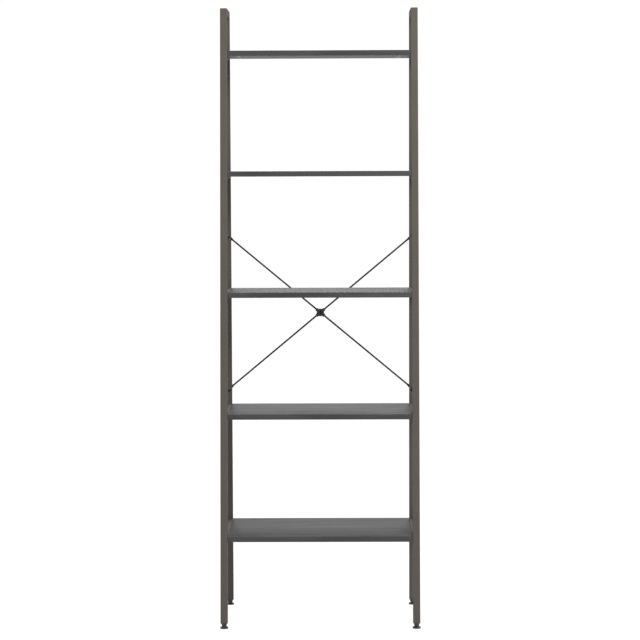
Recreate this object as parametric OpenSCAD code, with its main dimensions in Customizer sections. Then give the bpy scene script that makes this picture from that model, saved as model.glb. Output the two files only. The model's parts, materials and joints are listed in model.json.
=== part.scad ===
// Ladder shelf: two welded side frames, five boards, a rod X-brace and four levelling feet.
// The front legs lean back, so each board is shallower than the one below it.
// Origin: on the floor, in the middle of the overall box. Front is -Y, right is +X, up is +Z.

/* [Frame] */
// Overall width over the side frames
overall_w = 560; // [480:1:700]
// Depth over the leg bottoms, front face to rear face
frame_d = 336; // [320:1:400]
// Overall height, feet included
overall_h = 1740; // [1700:1:1800]
// How far the front leg leans back from bottom to top
lean_back = 190; // [150:1:195]
// Outside size of the square tube
tube = 20; // [18:0.5:22]
// Wall of the square tube
tube_wall = 1.2; // [1:0.1:1.5]
// Outside corner radius of the square tube
tube_r = 2; // [1.5:0.1:2.5]

/* [Shelves] */
// Height of the bottom board's top face
first_shelf = 256; // [240:1:280]
// Step from one board's top face to the next
shelf_pitch = 341; // [330:1:345]
// Board thickness, decor paper included
board_t = 15; // [14:0.5:16]
// Thickness of the edge banding
band_t = 1; // [0.8:0.1:1.5]
// Gap between a board's end and the side rail
board_gap = 0.5; // [0.3:0.1:1]
// How far a board's front edge sits behind the front leg's face
front_setback = 1; // [0.5:0.5:4]

/* [Cross brace] */
// Height of the hub
brace_z = 865; // [850:1:880]
// Height of the brace bolts above and below the hub
brace_rise = 225; // [200:1:240]
// Rod diameter
rod_d = 5; // [4:0.5:6]
// Reach of each hub arm from the centre
hub_reach = 15.5; // [14:0.5:18]
// Width of each hub arm
hub_arm_w = 9; // [8:0.5:10]

/* [Levelling feet] */
// Pad diameter
pad_d = 23; // [22:0.5:26]
// Thickness of the pad's disc
pad_t = 4; // [3.5:0.5:5]
// Gap from the floor to the underside of the leg plug
foot_h = 15; // [14:0.5:18]
// Stud diameter
stud_d = 8; // [8:0.5:8]

/* [Fasteners] */
// Diameter of the shelf bolts and brace bolts
bolt_d = 6; // [6:0.5:6]
// Distance of a shelf bolt from the board's front or back edge
bolt_inset = 38; // [30:1:40]
// Distance of a barrel nut from the board's end
nut_inset = 30; // [25:1:40]

/* [Hidden] */
$fn = 48;
plug_flange_t = 2.5;
leg_z = foot_h + plug_flange_t;
leg_rise = overall_h - leg_z;
lean = atan(lean_back / leg_rise);
tube_run = tube / cos(lean);
side_x = (overall_w - tube) / 2;
inner_x = overall_w / 2 - tube;
hole_d = bolt_d + 0.5;
board_half_w = inner_x - board_gap;
band_corner_r = 0.8;
paint = [0.36, 0.34, 0.32];
black = [0.1, 0.1, 0.1];
zinc = [0.65, 0.65, 0.67];

// Top rail: centre line height, and tilts of the mitres with the leaning and rear legs
top_rail_z = overall_h - tube / 2;
front_mitre = (90 - lean) / 2;
rear_mitre = -45;

// Fastener sizes
head_r = 6.2;
head_h = 3.2;
hex_af = 4;
cap_r = 5;
cap_h = 4.5;
cap_hex_af = 5;
access_r = 5.4;
nut_af = 10;
nut_t = 5;
bolt_past_nut = 8;
washer_r = 6;
washer_t = 1.2;
barrel_r = 5;
barrel_len = 12;
slot_w = 1.2;
slot_depth = 1;
tap_gap = 0.02;

// Brace: the eyelets lie on the rear legs' rear faces, under a washer and a nut
eye_t = 3;
eye_r = 7;
bolt_tail = 11;
rod_off = 2.8;
rod_inner = 6;
rod_neck = 14;
hub_t = 12;
hub_centre_r = 11;
hub_split = 0.05;
hub_relief_r = 5.5;
hub_seat = hub_t / 2 - 1.5;
hub_screw_r = 2;
hub_head_r = 3.8;
hub_head_h = 2.2;
hub_hex_af = 2.5;
hub_nut_af = 7;
hub_nut_t = 3;

// Depth positions, so that the overall box is centred on Y = 0
pad_overhang = (pad_d - tube) / 2;
overall_d = pad_overhang + frame_d + bolt_tail;
front_y = pad_overhang - overall_d / 2;
rear_y = front_y + frame_d;
front_foot_y = front_y + tube / 2;
rear_foot_y = rear_y - tube / 2;
rod_y = rear_y + rod_off;

// Brace geometry
brace_angle = atan(brace_rise / side_x);
brace_len = norm([side_x, brace_rise]);

// Foot geometry, heights above the floor
plug_h = 25;
insert_r = 5.5;
insert_h = 12;
stud_top = 44;
collar_low = 7.2;
collar_high = foot_h - 0.2;
collar_r_low = 6.8;
collar_r_high = 8;
flute_r = 0.7;
flutes = 16;
boss_r = 6.4;
boss_top = 7;
ball_r = 4.6;
ball_z = [1.6, 3.6];
stem_r = 3;
fit = 0.06;

// Level 1 is the bottom board. Heights and depths of each board follow from its level.
LEVELS = [1, 2, 3, 4, 5];
function shelf_z(level) = first_shelf + (level - 1) * shelf_pitch;
function leg_front_y(z) = front_y + (z - leg_z) * tan(lean);
function board_front_y(level) = leg_front_y(shelf_z(level)) + front_setback;
function bolt_ys(level) = [board_front_y(level) + bolt_inset, rear_y - bolt_inset];

// ---- Shared shapes ----

// A rounded rectangle centred on the origin
module rounded_rect(w, h, r) {
    square([w - 2 * r, h], center = true);
    square([w, h - 2 * r], center = true);
    for (x = [-1, 1], y = [-1, 1]) {
        translate([x * (w / 2 - r), y * (h / 2 - r)]) circle(r);
    }
}

// Cross-section of the square tube
module tube_section() {
    difference() {
        rounded_rect(tube, tube, tube_r);
        rounded_rect(tube - 2 * tube_wall, tube - 2 * tube_wall, tube_r - tube_wall);
    }
}

// Everything behind (+Y) the plane through (y, z) that is tilted about X
module behind(y, z, tilt, reach = 100) {
    translate([0, y, z]) rotate([tilt, 0, 0]) translate([-reach / 2, 0, -reach / 2]) cube(reach);
}

// Everything in front (-Y) of the same plane
module ahead_of(y, z, tilt, reach = 100) {
    translate([0, y, z]) rotate([tilt, 0, 0]) translate([-reach / 2, -reach, -reach / 2]) cube(reach);
}

// A button head with a hexagon socket, seated on Z = 0, dome towards +Z
module button_head(r, h, socket) {
    dome_r = 1.6 * r;
    socket_floor = 0.4 * h;
    difference() {
        intersection() {
            cylinder(r = r, h = h);
            translate([0, 0, h - dome_r]) sphere(r = dome_r, $fn = 64);
        }
        translate([0, 0, socket_floor]) cylinder(d = socket / cos(30), h = h, $fn = 6);
    }
}

// A hexagon nut with a tapped hole, from Z = 0 up
module hex_nut(af, t, hole_r) {
    chamfer_slope = 1.6;
    difference() {
        intersection() {
            cylinder(d = af / cos(30), h = t, $fn = 6);
            cylinder(r1 = af / 2 + t * chamfer_slope, r2 = af / 2, h = t);
        }
        translate([0, 0, -1]) cylinder(r = hole_r, h = t + 2);
    }
}

// ---- Side frames; side is -1 for left and 1 for right ----

module front_leg(side) {
    color(paint)
    difference() {
        translate([side * side_x, front_y + tube_run / 2, leg_z]) rotate([-lean, 0, 0])
            translate([0, 0, -tube]) linear_extrude(leg_rise / cos(lean) + 2 * tube) tube_section();
        translate([side * side_x - tube, front_y - tube, leg_z - 4 * tube])
            cube([2 * tube, 4 * tube, 4 * tube]);
        translate([side * side_x, 0, 0]) behind(leg_front_y(overall_h), overall_h, front_mitre);
    }
}

module rear_leg(side) {
    color(paint)
    difference() {
        translate([side * side_x, rear_foot_y, leg_z]) linear_extrude(leg_rise + tube) tube_section();
        translate([side * side_x, 0, 0]) ahead_of(rear_y, overall_h, rear_mitre);
        for (rise = [-1, 1]) {
            translate([side * side_x, rear_y + tube, brace_z + rise * brace_rise])
                rotate([90, 0, 0]) cylinder(d = hole_d, h = 3 * tube);
        }
    }
}

module top_rail(side) {
    color(paint)
    translate([side * side_x, 0, 0])
    difference() {
        translate([0, leg_front_y(overall_h) - tube, top_rail_z]) rotate([-90, 0, 0])
            linear_extrude(rear_y - leg_front_y(overall_h) + 2 * tube) tube_section();
        ahead_of(leg_front_y(overall_h), overall_h, front_mitre);
        behind(rear_y, overall_h, rear_mitre);
    }
}

// A level rail from the leaning leg's rear face to the rear leg's front face. Its outer wall has
// wider holes, through which the bolt heads pass to sit on the inner wall.
module side_rail(side, level) {
    top = shelf_z(level);
    start_y = leg_front_y(top) + tube_run;
    color(paint)
    translate([side * side_x, 0, 0])
    difference() {
        translate([0, start_y - tube, top - tube / 2]) rotate([-90, 0, 0])
            linear_extrude(rear_y - tube - start_y + tube) tube_section();
        ahead_of(start_y, top, -lean);
        for (y = bolt_ys(level)) {
            translate([0, y, top - board_t / 2]) rotate([0, side * 90, 0]) {
                cylinder(d = hole_d, h = 2 * tube, center = true);
                cylinder(r = access_r, h = tube);
            }
        }
    }
}

// ---- Boards ----

module shelf_board(level) {
    top = shelf_z(level);
    front = board_front_y(level);
    core_half_w = board_half_w - band_t;
    color([0.42, 0.42, 0.42])
    difference() {
        translate([-core_half_w, front + band_t, top - board_t])
            cube([2 * core_half_w, rear_y - front - 2 * band_t, board_t]);
        for (side = [-1, 1], y = bolt_ys(level)) {
            translate([side * (board_half_w - nut_inset - bolt_past_nut - 4), y, top - board_t / 2])
                rotate([0, side * 90, 0]) cylinder(d = hole_d, h = 2 * nut_inset);
            translate([side * (board_half_w - nut_inset), y, top - board_t - 1])
                cylinder(r = barrel_r + tap_gap, h = barrel_len + 1 + tap_gap);
        }
    }
}

// One banding strip along X with rounded outer edges, its outer face at Y = 0, rising from Z = 0
module band_strip(length) {
    rotate([90, 0, 90]) translate([0, 0, -length / 2]) linear_extrude(length)
    intersection() {
        translate([5, board_t / 2]) rounded_rect(10, board_t, band_corner_r);
        square([band_t, board_t]);
    }
}

module edge_band(level) {
    bottom = shelf_z(level) - board_t;
    front = board_front_y(level);
    depth = rear_y - front;
    color([0.3, 0.3, 0.3]) {
        translate([0, front, bottom]) band_strip(2 * board_half_w);
        translate([0, rear_y, bottom]) rotate([0, 0, 180]) band_strip(2 * board_half_w);
        for (side = [-1, 1]) {
            difference() {
                translate([side * board_half_w, (front + rear_y) / 2, bottom])
                    rotate([0, 0, side * 90]) band_strip(depth - 2 * band_t);
                for (y = bolt_ys(level)) {
                    translate([side * board_half_w, y, bottom + board_t / 2])
                        rotate([0, 90, 0]) cylinder(d = hole_d, h = 10, center = true);
                }
            }
        }
    }
}

// ---- Shelf fasteners ----

module shelf_bolts(side) {
    length = tube_wall + board_gap + nut_inset + bolt_past_nut;
    color([0.25, 0.25, 0.26])
    for (level = LEVELS, y = bolt_ys(level)) {
        translate([side * (inner_x + tube_wall), y, shelf_z(level) - board_t / 2])
        rotate([0, side * 90, 0]) {
            button_head(cap_r, cap_h, cap_hex_af);
            translate([0, 0, -length]) cylinder(d = bolt_d, h = length + cap_h * 0.3);
        }
    }
}

module barrel_nuts(side) {
    color(zinc)
    for (level = LEVELS, y = bolt_ys(level)) {
        translate([side * (board_half_w - nut_inset), y, shelf_z(level) - board_t])
        difference() {
            cylinder(r = barrel_r, h = barrel_len);
            translate([0, 0, board_t / 2]) rotate([0, 90, 0])
                cylinder(r = bolt_d / 2 + tap_gap, h = 4 * barrel_r, center = true);
            translate([-barrel_r, -slot_w / 2, -slot_depth]) cube([2 * barrel_r, slot_w, 2 * slot_depth]);
        }
    }
}

// ---- Cross brace; rise is 1 for the upper rods and -1 for the lower ----

// Moves children drawn for the upper right quarter into another quarter
module in_quarter(side, rise) {
    mirror([side < 0 ? 1 : 0, 0, 0]) mirror([0, 0, rise < 0 ? 1 : 0]) children();
}

// A rod from the hub to a flattened eyelet over the rear leg's bolt hole
module brace_rod(side, rise) {
    neck_half = rod_d / 2 - 0.5;
    color([0.25, 0.25, 0.25])
    translate([0, rod_y, brace_z]) in_quarter(side, rise) rotate([0, -brace_angle, 0]) {
        translate([rod_inner, 0, 0]) rotate([0, 90, 0]) rotate(90)
            cylinder(d = rod_d, h = brace_len - eye_r - rod_neck / 2 - rod_inner);
        translate([brace_len, -rod_off + eye_t, 0]) rotate([90, 0, 0]) linear_extrude(eye_t)
        difference() {
            union() {
                circle(eye_r);
                polygon([
                    [-eye_r - rod_neck, -neck_half], [-eye_r - rod_neck, neck_half],
                    [-2, eye_r - 1], [-2, 1 - eye_r]
                ]);
            }
            circle(d = hole_d);
        }
    }
}

// Outline of the hub: a round centre and four arms along the rods
module hub_outline() {
    circle(hub_centre_r);
    for (side = [-1, 1], rise = [-1, 1]) {
        rotate(side * rise * brace_angle + (side < 0 ? 180 : 0))
            translate([hub_reach / 2, 0]) rounded_rect(hub_reach, hub_arm_w, 1.5);
    }
}

module rod_sockets() {
    for (side = [-1, 1], rise = [-1, 1]) {
        in_quarter(side, rise) rotate([0, -brace_angle, 0]) translate([rod_inner - 0.5, 0, 0])
            rotate([0, 90, 0]) cylinder(d = rod_d + 0.04, h = hub_reach + 10);
    }
}

// One half of the hub, its joint face on the rods' centre plane; half is -1 in front, 1 behind
module hub_half(half) {
    difference() {
        rotate([90, 0, 0]) translate([0, 0, half < 0 ? hub_split : -hub_t / 2])
            linear_extrude(hub_t / 2 - hub_split) hub_outline();
        rod_sockets();
        rotate([90, 0, 0]) cylinder(r = hub_screw_r + 0.2, h = 3 * hub_t, center = true);
        translate([0, half * hub_seat, 0]) rotate([-90 * half, 0, 0])
            cylinder(r = hub_relief_r, h = hub_t);
    }
}

module brace_hub_front() {
    color(black) translate([0, rod_y, brace_z]) hub_half(-1);
}

module brace_hub_back() {
    color(black) translate([0, rod_y, brace_z]) hub_half(1);
}

module hub_screw() {
    color(black)
    translate([0, rod_y - hub_seat, brace_z]) rotate([90, 0, 0]) {
        button_head(hub_head_r, hub_head_h, hub_hex_af);
        translate([0, 0, -2 * hub_seat - hub_nut_t])
            cylinder(r = hub_screw_r, h = 2 * hub_seat + hub_nut_t + 0.5);
    }
}

module hub_nut() {
    color(black)
    translate([0, rod_y + hub_seat, brace_z]) rotate([-90, 0, 0])
        hex_nut(hub_nut_af, hub_nut_t, hub_screw_r + tap_gap);
}

// Places its children at the four brace bolts, with Z pointing backwards from the given depth
module at_brace_bolts(y) {
    for (side = [-1, 1], rise = [-1, 1]) {
        translate([side * side_x, y, brace_z + rise * brace_rise]) rotate([-90, 0, 0]) children();
    }
}

module brace_bolts() {
    length = tube + bolt_tail;
    color([0.15, 0.15, 0.15])
    at_brace_bolts(rear_y - tube) {
        rotate([180, 0, 0]) button_head(head_r, head_h, hex_af);
        translate([0, 0, -head_h * 0.3]) cylinder(d = bolt_d, h = length + head_h * 0.3);
    }
}

module brace_washers() {
    color(zinc)
    at_brace_bolts(rear_y + eye_t)
    difference() {
        cylinder(r = washer_r, h = washer_t);
        translate([0, 0, -1]) cylinder(d = hole_d, h = washer_t + 2);
    }
}

module brace_nuts() {
    color(zinc)
    at_brace_bolts(rear_y + eye_t + washer_t) hex_nut(nut_af, nut_t, bolt_d / 2 + tap_gap);
}

// ---- Levelling feet ----

// Depth of a leg's foot
function foot_y(front) = front ? front_foot_y : rear_foot_y;

module leg_plug(side, front) {
    tilt = front ? lean : 0;
    inside = tube - 2 * tube_wall - 0.2;
    color(black)
    translate([side * side_x, foot_y(front), 0])
    difference() {
        union() {
            translate([0, 0, foot_h]) linear_extrude(plug_flange_t) rounded_rect(tube, tube, tube_r);
            intersection() {
                translate([0, 0, leg_z]) rotate([-tilt, 0, 0]) translate([0, 0, -5])
                    linear_extrude(plug_h + 5) rounded_rect(inside, inside, 0.8);
                translate([-tube, -tube, leg_z]) cube([2 * tube, 2 * tube, 2 * plug_h]);
            }
        }
        cylinder(d = stud_d + 0.6, h = stud_top * 2);
        translate([0, 0, leg_z - 0.5]) cylinder(r = insert_r + tap_gap, h = insert_h);
    }
}

module foot_inserts() {
    color(zinc)
    for (side = [-1, 1], front = [true, false]) {
        translate([side * side_x, foot_y(front), leg_z - 0.5])
        difference() {
            cylinder(r = insert_r, h = insert_h);
            translate([0, 0, -1]) cylinder(d = stud_d + 2 * fit, h = insert_h + 2);
        }
    }
}

module foot_pad(side, front) {
    edge_r = 1.2;
    color(black)
    translate([side * side_x, foot_y(front), 0])
    rotate_extrude($fn = 96)
    difference() {
        union() {
            square([pad_d / 2 - edge_r, pad_t]);
            square([pad_d / 2, pad_t - edge_r]);
            translate([pad_d / 2 - edge_r, pad_t - edge_r]) circle(edge_r);
            square([boss_r, boss_top]);
        }
        translate([0, ball_z[0] - fit]) square([ball_r + fit, ball_z[1] - ball_z[0] + 2 * fit]);
        translate([0, ball_z[0]]) square([stem_r + fit, boss_top]);
    }
}

// Threaded stud with a turned-down stem and a flange that the pad holds
module foot_stud(side, front) {
    color(zinc)
    translate([side * side_x, foot_y(front), 0]) {
        translate([0, 0, ball_z[0]]) cylinder(r = ball_r, h = ball_z[1] - ball_z[0]);
        translate([0, 0, ball_z[0]]) cylinder(r = stem_r, h = collar_low);
        translate([0, 0, collar_low + 0.5]) cylinder(d = stud_d, h = stud_top - collar_low - 1.5);
        translate([0, 0, stud_top - 1]) cylinder(d1 = stud_d, d2 = stud_d - 2, h = 1);
    }
}

// Fluted grip moulded round the stud
module foot_collar(side, front) {
    height = collar_high - collar_low;
    tilt = atan((collar_r_high - collar_r_low) / height);
    color(black)
    translate([side * side_x, foot_y(front), collar_low])
    difference() {
        cylinder(r1 = collar_r_low, r2 = collar_r_high, h = height);
        translate([0, 0, 0.5]) cylinder(d = stud_d + 2 * tap_gap, h = height);
        translate([0, 0, -1]) cylinder(r = stem_r + tap_gap, h = height);
        for (k = [0 : flutes - 1]) {
            rotate(k * 360 / flutes) translate([collar_r_low + flute_r * 0.3, 0, 0])
                rotate([0, tilt, 0]) translate([0, 0, -2]) cylinder(r = flute_r, h = height + 4);
        }
    }
}

// ---- Nodes ----

front_leg(-1);  // front_leg_left
front_leg(1);  // front_leg_right
rear_leg(-1);  // rear_leg_left
rear_leg(1);  // rear_leg_right
top_rail(-1);  // top_rail_left
top_rail(1);  // top_rail_right
side_rail(-1, 1);  // side_rail_left_1
side_rail(-1, 2);  // side_rail_left_2
side_rail(-1, 3);  // side_rail_left_3
side_rail(-1, 4);  // side_rail_left_4
side_rail(-1, 5);  // side_rail_left_5
side_rail(1, 1);  // side_rail_right_1
side_rail(1, 2);  // side_rail_right_2
side_rail(1, 3);  // side_rail_right_3
side_rail(1, 4);  // side_rail_right_4
side_rail(1, 5);  // side_rail_right_5
shelf_board(1);  // shelf_board_1
shelf_board(2);  // shelf_board_2
shelf_board(3);  // shelf_board_3
shelf_board(4);  // shelf_board_4
shelf_board(5);  // shelf_board_5
edge_band(1);  // edge_band_1
edge_band(2);  // edge_band_2
edge_band(3);  // edge_band_3
edge_band(4);  // edge_band_4
edge_band(5);  // edge_band_5
shelf_bolts(-1);  // shelf_bolts_left
shelf_bolts(1);  // shelf_bolts_right
barrel_nuts(-1);  // barrel_nuts_left
barrel_nuts(1);  // barrel_nuts_right
brace_rod(-1, 1);  // brace_rod_upper_left
brace_rod(1, 1);  // brace_rod_upper_right
brace_rod(-1, -1);  // brace_rod_lower_left
brace_rod(1, -1);  // brace_rod_lower_right
brace_hub_front();
brace_hub_back();
hub_screw();
hub_nut();
brace_bolts();
brace_washers();
brace_nuts();
leg_plug(-1, true);  // leg_plug_front_left
leg_plug(1, true);  // leg_plug_front_right
leg_plug(-1, false);  // leg_plug_rear_left
leg_plug(1, false);  // leg_plug_rear_right
foot_inserts();
foot_pad(-1, true);  // foot_pad_front_left
foot_pad(1, true);  // foot_pad_front_right
foot_pad(-1, false);  // foot_pad_rear_left
foot_pad(1, false);  // foot_pad_rear_right
foot_stud(-1, true);  // foot_stud_front_left
foot_stud(1, true);  // foot_stud_front_right
foot_stud(-1, false);  // foot_stud_rear_left
foot_stud(1, false);  // foot_stud_rear_right
foot_collar(-1, true);  // foot_collar_front_left
foot_collar(1, true);  // foot_collar_front_right
foot_collar(-1, false);  // foot_collar_rear_left
foot_collar(1, false);  // foot_collar_rear_right
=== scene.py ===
import json
import math
import random

import bpy
from mathutils import Matrix, Vector


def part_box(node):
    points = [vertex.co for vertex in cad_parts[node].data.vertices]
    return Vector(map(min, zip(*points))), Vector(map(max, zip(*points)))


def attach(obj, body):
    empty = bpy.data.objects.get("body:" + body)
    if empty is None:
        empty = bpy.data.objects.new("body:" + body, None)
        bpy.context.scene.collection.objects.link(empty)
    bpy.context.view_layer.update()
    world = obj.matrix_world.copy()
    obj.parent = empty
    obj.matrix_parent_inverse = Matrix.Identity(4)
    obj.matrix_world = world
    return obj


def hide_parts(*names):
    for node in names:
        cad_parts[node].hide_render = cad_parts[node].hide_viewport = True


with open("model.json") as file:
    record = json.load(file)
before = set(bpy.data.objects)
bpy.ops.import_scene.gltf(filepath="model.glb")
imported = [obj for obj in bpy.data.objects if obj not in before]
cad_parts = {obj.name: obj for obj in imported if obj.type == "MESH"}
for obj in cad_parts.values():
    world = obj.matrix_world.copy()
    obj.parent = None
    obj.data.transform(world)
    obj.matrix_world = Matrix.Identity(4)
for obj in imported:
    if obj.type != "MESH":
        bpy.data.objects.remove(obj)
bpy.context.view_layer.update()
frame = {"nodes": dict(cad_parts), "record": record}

LEVELS = range(1, 6)
CORNERS = [f"{depth}_{side}" for depth in ("front", "rear") for side in ("left", "right")]

# Sizes in metres
TUBE = 0.020
STUD_PITCH = 0.00125
FOOT_TRAVEL = 0.010
BEAD_STEP = 0.0006
BEAD_RIPPLE = 0.0024
RAIL_BEAD = {"bead_r": 0.0015, "sink": 0.0011, "top_sink": 0.0}
MITRE_BEAD = {"bead_r": 0.0014, "sink": 0.0012, "top_sink": 0.0014}

# The surround's light at the horizon and overhead, and how bright the camera sees it
HORIZON, OVERHEAD, WHITE = 0.45, 1.55, 1.02


# ---- Camera and light ----

def make_camera():
    """Looks straight on, from a little above the middle and far away, through a long lens."""
    data = bpy.data.cameras.new("camera")
    data.lens = 113.85
    data.clip_end = 60
    camera = bpy.data.objects.new("camera", data)
    bpy.context.collection.objects.link(camera)
    down, left, roll = math.radians(4.261), math.radians(0.549), math.radians(-0.211)
    turn = (Matrix.Rotation(left, 4, "Z") @ Matrix.Rotation(math.pi / 2 - down, 4, "X")
            @ Matrix.Rotation(roll, 4, "Z"))
    camera.matrix_world = Matrix.Translation((0.0556, -5.7621, 1.2843)) @ turn
    bpy.context.scene.camera = camera


def area_light(name, place, target, size, power):
    """A square soft light at place, facing target."""
    data = bpy.data.lights.new(name, "AREA")
    data.shape = "SQUARE"
    data.size = size
    data.energy = power
    lamp = bpy.data.objects.new(name, data)
    bpy.context.collection.objects.link(lamp)
    lamp.location = place
    lamp.rotation_euler = (Vector(target) - Vector(place)).to_track_quat("-Z", "Y").to_euler()
    lamp.visible_camera = False


def make_studio():
    """A white surround that lights more from above than from the horizon, a soft key light from the
    upper front right, a high soft light behind, and a floor."""
    scene = bpy.context.scene
    scene.view_settings.view_transform = "Standard"
    world = bpy.data.worlds.new("studio")
    world.use_nodes = True
    tree = world.node_tree
    backdrop = tree.nodes["Background"]
    backdrop.inputs["Color"].default_value = (1, 1, 1, 1)
    direction = node(tree, "ShaderNodeTexCoord").outputs["Generated"]
    up = node(tree, "ShaderNodeSeparateXYZ", {0: direction}).outputs[2]
    glow = remap(tree, up, -0.05, 0.75, HORIZON, OVERHEAD)
    seen = node(tree, "ShaderNodeLightPath").outputs["Is Camera Ray"]
    strength = math_node(tree, "MAXIMUM", glow, math_node(tree, "MULTIPLY", seen, WHITE))
    tree.links.new(strength, backdrop.inputs["Strength"])
    scene.world = world
    area_light("key", (1.2, -2.1, 3.1), (0, 0, 1.4), 1.3, 112)
    area_light("back", (0, 2.0, 3.1), (0, 0, 0.9), 1.4, 75)
    make_floor()


def make_floor():
    """A wide floor, just low enough for a foot at full reach."""
    half, level = 12.0, -FOOT_TRAVEL - 0.0002
    mesh = bpy.data.meshes.new("floor")
    signs = ((-1, -1), (1, -1), (1, 1), (-1, 1))
    corners = [(half * x, half * y, level) for x, y in signs]
    mesh.from_pydata(corners, [], [(0, 1, 2, 3)])
    floor = bpy.data.objects.new("floor", mesh)
    bpy.context.collection.objects.link(floor)
    floor.data.materials.append(studio_floor())


# ---- Material helpers ----

def new_material(name):
    """A material with a Principled shader: (material, node tree, shader)."""
    material = bpy.data.materials.new(name)
    material.use_nodes = True
    tree = material.node_tree
    return material, tree, tree.nodes["Principled BSDF"]


def node(tree, kind, inputs=None, **settings):
    """Adds a node. Inputs that are sockets are linked, and others are set as values."""
    made = tree.nodes.new(kind)
    for key, value in settings.items():
        setattr(made, key, value)
    for key, value in (inputs or {}).items():
        if isinstance(value, bpy.types.NodeSocket):
            tree.links.new(value, made.inputs[key])
        else:
            made.inputs[key].default_value = value
    return made


def math_node(tree, operation, a, b=0.0):
    return node(tree, "ShaderNodeMath", {0: a, 1: b}, operation=operation).outputs[0]


def remap(tree, value, low, high, to_low=0.0, to_high=1.0):
    """Value taken smoothly from low..high to to_low..to_high."""
    made = node(tree, "ShaderNodeMapRange",
                {"Value": value, "From Min": low, "From Max": high,
                 "To Min": to_low, "To Max": to_high},
                interpolation_type="SMOOTHSTEP")
    return made.outputs["Result"]


def noise(tree, where, scale, detail=2.0, roughness=0.5, distortion=0.0, stretch=None):
    """A noise pattern from 0 to 1. Its scale is in cycles per metre, and stretch multiplies that
    along each axis."""
    if stretch:
        where = node(tree, "ShaderNodeMapping", {"Vector": where, "Scale": stretch}).outputs["Vector"]
    made = node(tree, "ShaderNodeTexNoise",
                {"Vector": where, "Scale": scale, "Detail": detail, "Roughness": roughness,
                 "Distortion": distortion})
    return made.outputs["Fac"]


def mix(tree, factor, a, b):
    """Colour a at factor 0 and colour b at factor 1."""
    made = tree.nodes.new("ShaderNodeMix")
    made.data_type = "RGBA"
    for socket, value in ((made.inputs[0], factor), (made.inputs[6], a), (made.inputs[7], b)):
        if isinstance(value, bpy.types.NodeSocket):
            tree.links.new(value, socket)
        else:
            socket.default_value = value if isinstance(value, float) else (*value, 1.0)
    return made.outputs[2]


def scaled(colour, gain):
    return tuple(channel * gain for channel in colour)


def grey(level):
    return (level, level, level)


def object_place(tree):
    return node(tree, "ShaderNodeTexCoord").outputs["Object"]


def corner_mask(tree):
    """1 on rounded tube corners and small bevels, 0 on faces square to an axis."""
    normal = node(tree, "ShaderNodeTexCoord").outputs["Normal"]
    size = node(tree, "ShaderNodeVectorMath", {0: normal}, operation="ABSOLUTE").outputs[0]
    parts = node(tree, "ShaderNodeSeparateXYZ", {0: size}).outputs
    largest = math_node(tree, "MAXIMUM", math_node(tree, "MAXIMUM", parts[0], parts[1]), parts[2])
    return remap(tree, largest, 0.985, 0.80)


def bump(tree, height, strength, distance, under=None):
    """A surface normal with a relief, on top of another one if under is given."""
    inputs = {"Height": height, "Strength": strength, "Distance": distance}
    if under:
        inputs["Normal"] = under
    return node(tree, "ShaderNodeBump", inputs).outputs["Normal"]


# ---- Materials ----

def studio_floor():
    """Pale and matt. It lights the object softly, and looks almost as white as the surround."""
    material, tree, shader = new_material("studio_floor")
    patches = noise(tree, object_place(tree), 3.0, 3.0)
    colour = mix(tree, patches, grey(0.75), grey(0.79))
    tree.links.new(colour, shader.inputs["Base Color"])
    shader.inputs["Roughness"].default_value = 0.9
    shader.inputs["Specular IOR Level"].default_value = 0.1
    white = node(tree, "ShaderNodeEmission", {"Color": (1, 1, 1, 1), "Strength": WHITE}).outputs[0]
    seen = node(tree, "ShaderNodeLightPath").outputs["Is Camera Ray"]
    share = math_node(tree, "MULTIPLY", seen, 0.9)
    both = node(tree, "ShaderNodeMixShader",
                {0: share, 1: shader.outputs[0], 2: white}).outputs[0]
    tree.links.new(both, tree.nodes["Material Output"].inputs["Surface"])
    return material


def powder_coat(name, colour, roughness=0.56):
    """Sprayed powder paint: fine orange-peel relief, faint patches and specks, and corners that are
    paler in patches."""
    material, tree, shader = new_material(name)
    where = object_place(tree)
    patches = noise(tree, where, 9.0, 4.0, 0.6)
    specks = noise(tree, where, 1400.0, 2.0)
    peel = noise(tree, where, 520.0, 3.0, 0.55)
    # Rounded corners are made paler, in patches.
    paler_corners = math_node(tree, "MULTIPLY", corner_mask(tree), noise(tree, where, 45.0, 3.0, 0.65))
    body = mix(tree, patches, scaled(colour, 0.90), scaled(colour, 1.10))
    body = mix(tree, remap(tree, specks, 0.60, 0.78), body, scaled(colour, 1.30))
    body = mix(tree, math_node(tree, "MULTIPLY", paler_corners, 0.55), body, scaled(colour, 1.75))
    tree.links.new(body, shader.inputs["Base Color"])
    shader.inputs["Specular IOR Level"].default_value = 0.05
    tree.links.new(remap(tree, patches, 0.2, 0.8, roughness + 0.06, roughness - 0.05),
                   shader.inputs["Roughness"])
    fine = bump(tree, specks, 0.10, 0.00005)
    tree.links.new(bump(tree, peel, 0.22, 0.00012, fine), shader.inputs["Normal"])
    return material


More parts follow.
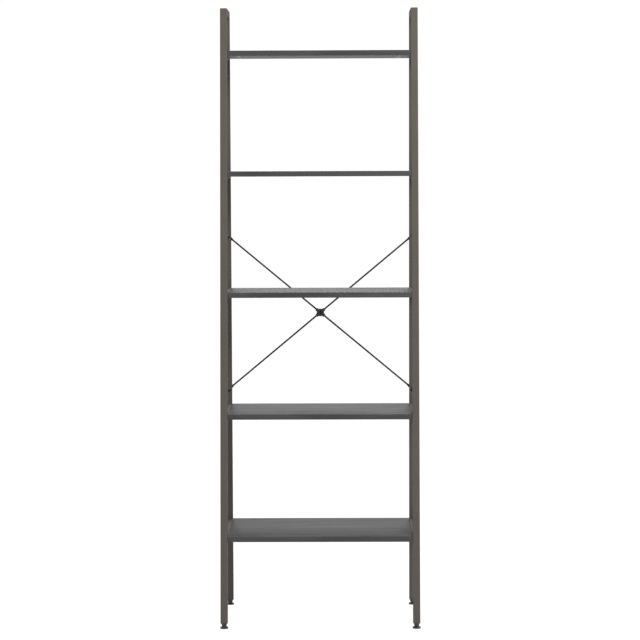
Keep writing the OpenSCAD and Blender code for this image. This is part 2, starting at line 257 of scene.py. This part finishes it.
def wood_decor(name, dark, light, contrast, roughness, shine, painted_underside_light=None):
    """Printed wood-grain laminate with the grain along X: fine streaks, a faint broad figure, short
    pores, and an embossing that spreads its gloss across the grain. An underside may be painted
    paler, as painted light that stands in for light from below."""
    material, tree, shader = new_material(name)
    where = object_place(tree)
    streaks = noise(tree, where, 5.0, 8.0, 0.70, 0.35, stretch=(0.35, 40.0, 40.0))
    threads = noise(tree, where, 30.0, 4.0, 0.6, stretch=(0.4, 30.0, 30.0))
    sway = noise(tree, where, 1.6, 3.0, stretch=(1.0, 5.0, 5.0))
    across = node(tree, "ShaderNodeSeparateXYZ", {0: where}).outputs
    rows = math_node(tree, "ADD", math_node(tree, "MULTIPLY", across[1], 150.0),
                     math_node(tree, "MULTIPLY", sway, 26.0))
    figure = remap(tree, math_node(tree, "SINE", rows), -1.0, 1.0)
    pits = noise(tree, where, 12.0, 3.0, stretch=(3.0, 160.0, 160.0))
    pores = remap(tree, pits, 0.60, 0.72)
    grain = math_node(tree, "ADD", math_node(tree, "MULTIPLY", streaks, 0.46),
                      math_node(tree, "ADD", math_node(tree, "MULTIPLY", threads, 0.42),
                                math_node(tree, "MULTIPLY", figure, 0.12)))
    spread = 0.17 / contrast
    body = mix(tree, remap(tree, grain, 0.5 - spread, 0.5 + spread), dark, light)
    body = mix(tree, math_node(tree, "MULTIPLY", pores, 0.45), body, scaled(dark, 0.60))
    # Painted light: a downward-facing face gets a paler colour that stands in for light bouncing up
    # from below.
    if painted_underside_light:
        facing = node(tree, "ShaderNodeTexCoord").outputs["Normal"]
        down = node(tree, "ShaderNodeSeparateXYZ", {0: facing}).outputs[2]
        body = mix(tree, remap(tree, down, -0.90, -0.98), body, scaled(light, painted_underside_light))
    tree.links.new(body, shader.inputs["Base Color"])
    shader.inputs["Specular IOR Level"].default_value = shine
    shader.inputs["Anisotropic"].default_value = 0.90
    across_grain = node(tree, "ShaderNodeCombineXYZ", {0: 0.0, 1: 1.0, 2: 0.2}).outputs[0]
    tree.links.new(across_grain, shader.inputs["Tangent"])
    tree.links.new(remap(tree, grain, 0.3, 0.7, roughness + 0.05, roughness - 0.04),
                   shader.inputs["Roughness"])
    relief = math_node(tree, "SUBTRACT", grain, math_node(tree, "MULTIPLY", pores, 0.7))
    tree.links.new(bump(tree, relief, 0.20, 0.00008), shader.inputs["Normal"])
    return material


def moulded_plastic(name, colour, roughness=0.5):
    """Spark-textured moulding with a slight painted highlight on its corners."""
    material, tree, shader = new_material(name)
    where = object_place(tree)
    spark = noise(tree, where, 1500.0, 2.0, 0.6)
    patches = noise(tree, where, 60.0, 3.0)
    shade = mix(tree, patches, scaled(colour, 0.85), scaled(colour, 1.2))
    # Painted highlight: the colour on rounded corners is raised towards a paler tone.
    body = mix(tree, math_node(tree, "MULTIPLY", corner_mask(tree), 0.4), shade, scaled(colour, 1.9))
    tree.links.new(body, shader.inputs["Base Color"])
    tree.links.new(remap(tree, spark, 0.2, 0.8, roughness - 0.07, roughness + 0.07),
                   shader.inputs["Roughness"])
    tree.links.new(bump(tree, spark, 0.3, 0.00006), shader.inputs["Normal"])
    return material


def plated_steel(name, colour, roughness=0.34):
    """Plated steel: clouded plating and fine turning marks."""
    material, tree, shader = new_material(name)
    where = object_place(tree)
    clouds = noise(tree, where, 220.0, 3.0, 0.6)
    marks = noise(tree, where, 900.0, 2.0, stretch=(1.0, 1.0, 6.0))
    body = mix(tree, clouds, scaled(colour, 0.82), scaled(colour, 1.08))
    tree.links.new(body, shader.inputs["Base Color"])
    shader.inputs["Metallic"].default_value = 1.0
    tree.links.new(remap(tree, clouds, 0.2, 0.8, roughness - 0.07, roughness + 0.1),
                   shader.inputs["Roughness"])
    tree.links.new(bump(tree, marks, 0.2, 0.00004), shader.inputs["Normal"])
    return material


def make_materials():
    """One material for each slot of the record."""
    return {
        "frame_paint": powder_coat("frame_paint", (0.062, 0.0538, 0.048)),
        "rod_paint": powder_coat("rod_paint", (0.027, 0.0255, 0.024)),
        # The board's underside gets painted light: a paler colour that stands in for light from
        # below.
        "board_decor": wood_decor("board_decor", grey(0.018), grey(0.028), contrast=1.0,
                                  roughness=0.51, shine=0.22, painted_underside_light=3.9),
        "edge_decor": wood_decor("edge_decor", grey(0.016), grey(0.030), contrast=1.3,
                                 roughness=0.50, shine=0.36),
        "black_plastic": moulded_plastic("black_plastic", grey(0.014)),
        "black_bolt": plated_steel("black_bolt", (0.045, 0.045, 0.047), 0.42),
        "zinc_steel": plated_steel("zinc_steel", (0.60, 0.60, 0.61)),
    }


def paint_cad_nodes(materials):
    """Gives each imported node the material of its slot."""
    for row in frame["record"]["subparts"]:
        for slot in frame["nodes"][row["node"]].material_slots:
            slot.material = materials[row["material_slot"]]


# ---- Pieces ----

def add_piece(name, verts, faces, material, body):
    """A smooth-shaded mesh piece that rides on a body and takes its finish from a slot."""
    mesh = bpy.data.meshes.new(name)
    mesh.from_pydata([tuple(v) for v in verts], [], faces)
    mesh.polygons.foreach_set("use_smooth", [True] * len(mesh.polygons))
    mesh.materials.append(material)
    piece = bpy.data.objects.new(name, mesh)
    bpy.context.collection.objects.link(piece)
    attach(piece, body)
    return piece


def skin(rings, verts, faces):
    """Adds a tube through rings of equal length to verts and faces, with closed ends."""
    first, around = len(verts), len(rings[0])
    for ring in rings:
        verts.extend(ring)
    for row in range(len(rings) - 1):
        for k in range(around):
            a = first + row * around + k
            b = first + row * around + (k + 1) % around
            faces.append((a, b, b + around, a + around))
    last = first + (len(rings) - 1) * around
    faces.append(tuple(first + k for k in reversed(range(around))))
    faces.append(tuple(last + k for k in range(around)))


def tube_outline(half, corner_r, sink, top_sink, step):
    """Points round a tube's square section from its inner bottom corner, by the outer side, to its
    inner top corner. x is towards the outer side. The path lies sink inside the outer face and
    top_sink below the top face."""
    inner, outer = -half, half - sink
    low, high = -half, half - top_sink
    corners = [(inner, low), (outer, low), (outer, high), (inner, high)]
    points = []
    for index in range(3):
        (x0, z0), (x1, z1) = corners[index], corners[index + 1]
        count = max(2, round(math.hypot(x1 - x0, z1 - z0) / step))
        points += [(x0 + (x1 - x0) * k / count, z0 + (z1 - z0) * k / count) for k in range(count)]
    points.append(corners[3])
    rounded = []
    for x, z in points:
        corner = (outer - corner_r, high - corner_r if z > 0 else low + corner_r)
        over = (x - corner[0], (z - corner[1]) * (1 if z > 0 else -1))
        if min(over) > 0 and math.hypot(*over) > corner_r:
            pull = corner_r / math.hypot(*over)
            x, z = corner[0] + over[0] * pull, corner[1] + (z - corner[1]) * pull
        rounded.append((x, z))
    return rounded


def weld_bead(verts, faces, side, place, slope, dice, bead_r, sink, top_sink):
    """A rippled bead round a joint between tubes. place is (x, y, z) of the section's centre in the
    joint plane, and slope is how far the plane leans back for each metre up."""
    corner_r = 0.0022
    path = [Vector((place[0] + side * x, place[1] + slope * z, place[2] + z))
            for x, z in tube_outline(TUBE / 2, corner_r, sink, top_sink, BEAD_STEP)]
    normal = Vector((0, 1, -slope)).normalized()
    rings, run = [], 0.0
    for index, centre in enumerate(path):
        before, after = path[max(index - 1, 0)], path[min(index + 1, len(path) - 1)]
        tangent = (after - before).normalized()
        across = normal.cross(tangent)
        run += (centre - before).length
        ends = min(index, len(path) - 1 - index) * BEAD_STEP / (2 * bead_r)
        taper = math.sqrt(min(1.0, 0.15 + ends))
        wave = 0.10 * math.sin(math.tau * run / BEAD_RIPPLE)
        radius = bead_r * taper * (1 + wave + dice.uniform(-0.05, 0.05))
        middle = centre + normal * dice.uniform(-0.00007, 0.00007)
        rings.append([middle + radius * (math.cos(turn) * normal + math.sin(turn) * across)
                      for turn in (math.tau * k / 8 for k in range(8))])
    skin(rings, verts, faces)


def weld_side(side, material):
    """The beads of one side frame: both ends of each side rail and both mitres of the top rail."""
    name = "left" if side < 0 else "right"
    dice = random.Random(11 + side)
    verts, faces = [], []
    rails = [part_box(f"side_rail_{name}_{level}") for level in LEVELS]
    lean = (rails[4][0].y - rails[0][0].y) / (rails[4][0].z - rails[0][0].z)
    for low, high in rails:
        x, z = (low.x + high.x) / 2, (low.z + high.z) / 2
        front = low.y + lean * TUBE / 2
        weld_bead(verts, faces, side, (x, front, z), lean, dice, **RAIL_BEAD)
        weld_bead(verts, faces, side, (x, high.y, z), 0.0, dice, **RAIL_BEAD)
    low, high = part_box(f"top_rail_{name}")
    x, z = (low.x + high.x) / 2, (low.z + high.z) / 2
    mitre = -math.tan((math.pi / 2 - math.atan(lean)) / 2)
    weld_bead(verts, faces, side, (x, low.y - mitre * TUBE / 2, z), mitre, dice, **MITRE_BEAD)
    weld_bead(verts, faces, side, (x, high.y - TUBE / 2, z), 1.0, dice, **MITRE_BEAD)
    add_piece(f"weld_beads_{name}", verts, faces, material, "shelf_frame")


def threaded_stud(corner, material):
    """A stud with a real helical thread above its turned-down stem and flange."""
    low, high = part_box(f"foot_stud_{corner}")
    x, y = (low.x + high.x) / 2, (low.y + high.y) / 2
    thread_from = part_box(f"foot_collar_{corner}")[0].z + 0.0005
    major, depth, chamfer = 0.00398, 0.00072, 0.0010
    around, per_turn = 32, 8
    profile = [(low.z, 0.0044), (low.z + 0.0002, 0.0046), (low.z + 0.0018, 0.0046),
               (low.z + 0.0020, 0.0044), (low.z + 0.0020, 0.0030), (thread_from, 0.0030)]
    rings = []
    for height, radius in profile:
        rings.append([Vector((x + radius * math.cos(turn), y + radius * math.sin(turn), height))
                      for turn in (math.tau * k / around for k in range(around))])
    rows = round((high.z - thread_from) / (STUD_PITCH / per_turn))
    for row in range(rows + 1):
        height = thread_from + (high.z - thread_from) * row / rows
        ring = []
        for k in range(around):
            turn = math.tau * k / around
            phase = ((height - thread_from) / STUD_PITCH - turn / math.tau) % 1.0
            groove = 1 - abs(2 * phase - 1)
            groove = min(1.0, max(0.0, (groove - 0.08) / 0.82))
            end = max(0.0, 1 - (high.z - height) / chamfer)
            radius = major - depth * max(groove, end)
            ring.append(Vector((x + radius * math.cos(turn), y + radius * math.sin(turn), height)))
        rings.append(ring)
    verts, faces = [], []
    skin(rings, verts, faces)
    body = f"foot_stud_{corner}"
    piece = add_piece(f"threaded_stud_{corner}", verts, faces, material, body)
    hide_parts(f"foot_stud_{corner}")


make_camera()
make_studio()
materials = make_materials()
paint_cad_nodes(materials)
for side in (-1, 1):
    weld_side(side, materials["frame_paint"])
for corner in CORNERS:
    threaded_stud(corner, materials["zinc_steel"])
